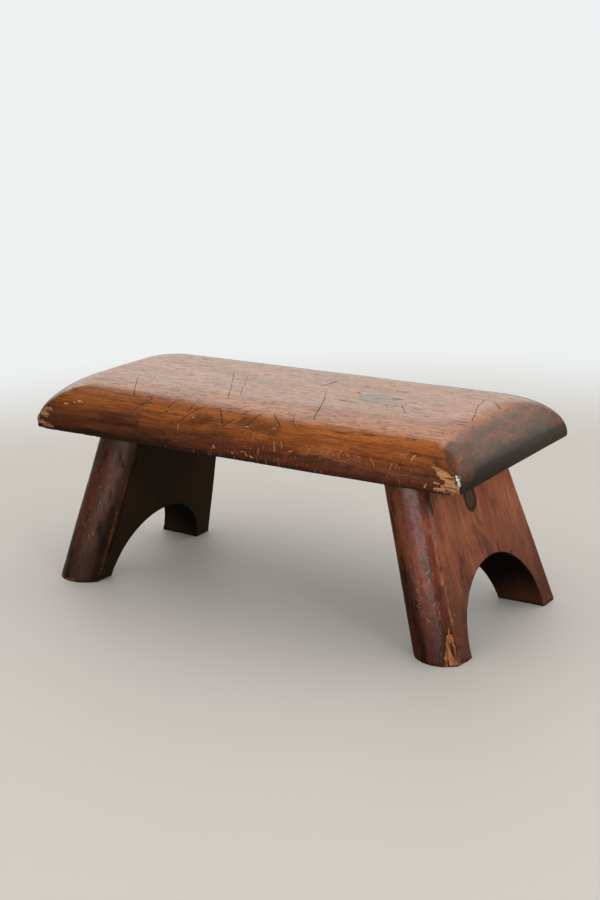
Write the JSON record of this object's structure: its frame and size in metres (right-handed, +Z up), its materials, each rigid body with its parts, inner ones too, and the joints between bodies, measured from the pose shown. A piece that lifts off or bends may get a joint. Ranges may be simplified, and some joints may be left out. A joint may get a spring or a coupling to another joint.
{
  "type": "low stool",
  "caption": "Low wooden stool: a thick top rounded over on all edges, on splayed and flared board legs with half-round arches at the floor.",
  "frame": {"origin": "on the floor under the middle of the stool", "axes": "+X along the length of the top, +Y across it away from the pictured side, +Z up"},
  "size_m": [0.406, 0.19, 0.176],
  "materials": {
    "top_wood": "old red-brown varnish, glossy where it is whole and scratched down to the wood at the edges",
    "leg_wood": "old dark red-brown varnish over straight-grained softwood",
    "dowel_wood": "bare hardwood, turned"
  },
  "bodies": {
    "root": {"top_board": "top_wood", "left_leg": "leg_wood", "right_leg": "leg_wood", "left_front_dowel": "dowel_wood", "left_middle_dowel": "dowel_wood", "left_back_dowel": "dowel_wood", "right_front_dowel": "dowel_wood", "right_middle_dowel": "dowel_wood", "right_back_dowel": "dowel_wood"}
  },
  "joints": []
}
